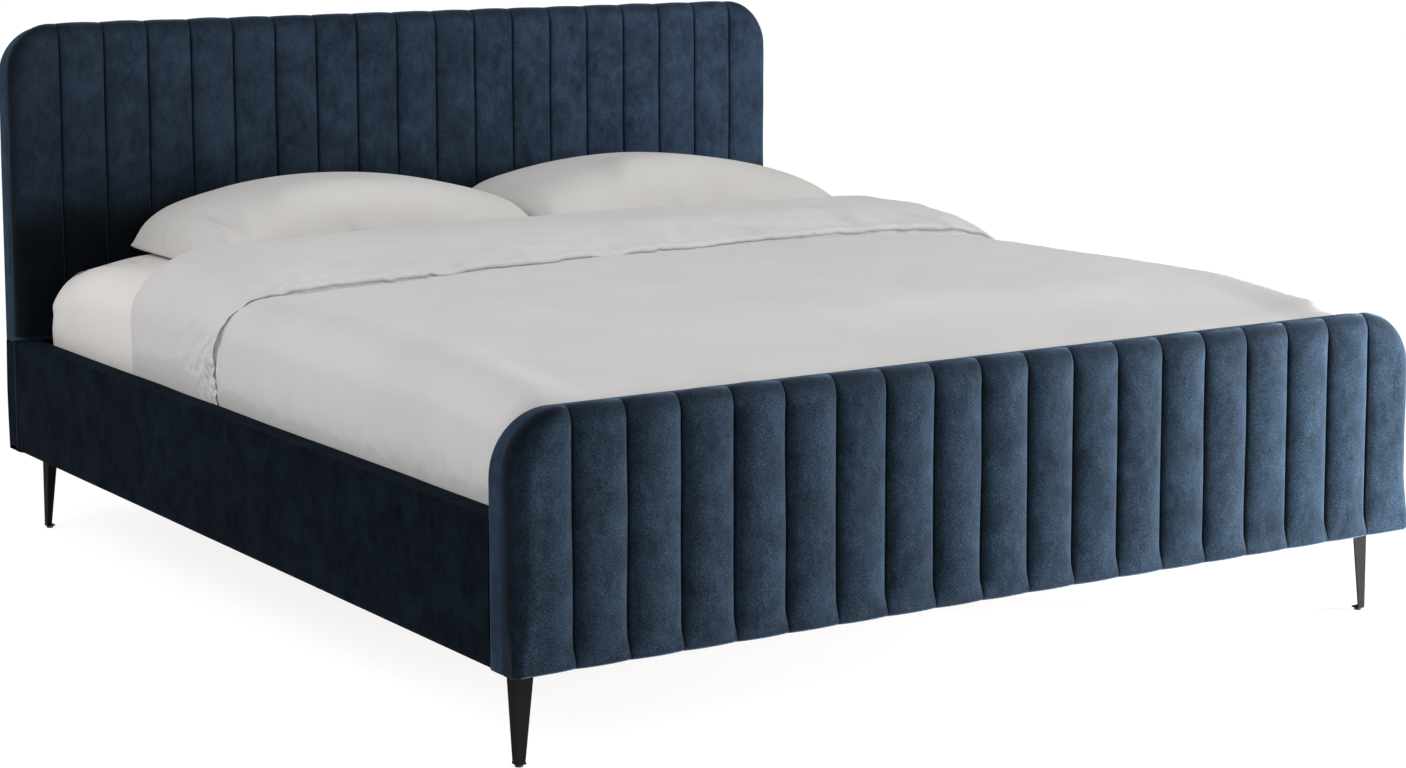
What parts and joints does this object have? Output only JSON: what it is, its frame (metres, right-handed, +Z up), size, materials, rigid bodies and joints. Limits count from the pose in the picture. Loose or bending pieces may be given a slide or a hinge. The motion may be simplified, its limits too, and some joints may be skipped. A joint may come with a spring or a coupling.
{
  "type": "upholstered headboard bed",
  "caption": "Double bed with vertically channelled velvet headboard and footboard, padded side rails, slatted base, tapered metal legs, mattress, duvet and pillows.",
  "frame": {"origin": "centre of the footprint, on the floor", "axes": "+Y towards the headboard, +X to the right as seen from the foot, +Z up"},
  "size_m": [1.92, 2.224, 1.076],
  "materials": {
    "velvet": "matte",
    "velvet_dark": "matte",
    "pine": "matte",
    "plywood": "matte",
    "sheet_cotton": "matte",
    "duvet_cotton": "matte",
    "pillow_cotton": "matte",
    "black_steel": "satin",
    "zinc_steel": "satin",
    "black_plastic": "matte",
    "webbing": "matte"
  },
  "bodies": {
    "frame": {"headboard_panel": "plywood", "headboard_stile_left": "pine", "headboard_stile_right": "pine", "headboard_top_rail": "pine", "headboard_seam_rail": "pine", "headboard_bottom_rail": "pine", "headboard_centre_post": "pine", "headboard_corner_left": "pine", "headboard_corner_right": "pine", "headboard_band": "velvet", "headboard_back_cover": "velvet_dark", "headboard_channel_pad": "velvet", "headboard_apron_pad": "velvet", "footboard_panel": "plywood", "footboard_stile_left": "pine", "footboard_stile_right": "pine", "footboard_top_rail": "pine", "footboard_bottom_rail": "pine", "footboard_centre_post": "pine", "footboard_corner_left": "pine", "footboard_corner_right": "pine", "footboard_band": "velvet", "footboard_back_cover": "velvet_dark", "footboard_channel_pad": "velvet", "rail_board_left": "pine", "rail_board_right": "pine", "rail_cover_left": "velvet", "rail_cover_right": "velvet", "slat_ledge_left": "pine", "slat_ledge_right": "pine", "leg_block_front_left": "pine", "leg_block_front_right": "pine", "leg_block_rear_left": "pine", "leg_block_rear_right": "pine", "bracket_front_left": "zinc_steel", "bracket_front_right": "zinc_steel", "bracket_rear_left": "zinc_steel", "bracket_rear_right": "zinc_steel", "bolts": "zinc_steel", "leg_front_left": "black_steel", "leg_front_right": "black_steel", "leg_rear_left": "black_steel", "leg_rear_right": "black_steel", "leg_glides": "black_plastic", "wood_screws": "zinc_steel", "centre_beam": "pine", "beam_hanger_head": "zinc_steel", "beam_hanger_foot": "zinc_steel", "support_leg_head": "black_steel", "support_leg_foot": "black_steel", "slats_left": "plywood", "slats_right": "plywood", "slat_tapes": "webbing"},
    "mattress": {"mattress": "sheet_cotton"},
    "duvet": {"duvet": "duvet_cotton"},
    "pillow_left": {"pillow_left": "pillow_cotton"},
    "pillow_right": {"pillow_right": "pillow_cotton"},
    "levelling_foot_head": {"levelling_foot_head": "black_plastic"},
    "levelling_foot_foot": {"levelling_foot_foot": "black_plastic"}
  },
  "joints": [
    {"name": "mattress_lift", "type": "slide", "parent": "frame", "child": "mattress", "axis": [0, 0, 1], "range_m": [0, 0.35]},
    {"name": "duvet_lift", "type": "slide", "parent": "mattress", "child": "duvet", "axis": [0, 0, 1], "range_m": [0, 0.3]},
    {"name": "pillow_left_lift", "type": "slide", "parent": "mattress", "child": "pillow_left", "axis": [0, 0, 1], "range_m": [0, 0.3]},
    {"name": "pillow_right_lift", "type": "slide", "parent": "mattress", "child": "pillow_right", "axis": [0, 0, 1], "range_m": [0, 0.3]},
    {"name": "levelling_foot_head_screw", "type": "slide", "parent": "frame", "child": "levelling_foot_head", "axis": [0, 0, 1], "range_m": [0, 0.012]},
    {"name": "levelling_foot_foot_screw", "type": "slide", "parent": "frame", "child": "levelling_foot_foot", "axis": [0, 0, 1], "range_m": [0, 0.012]}
  ]
}
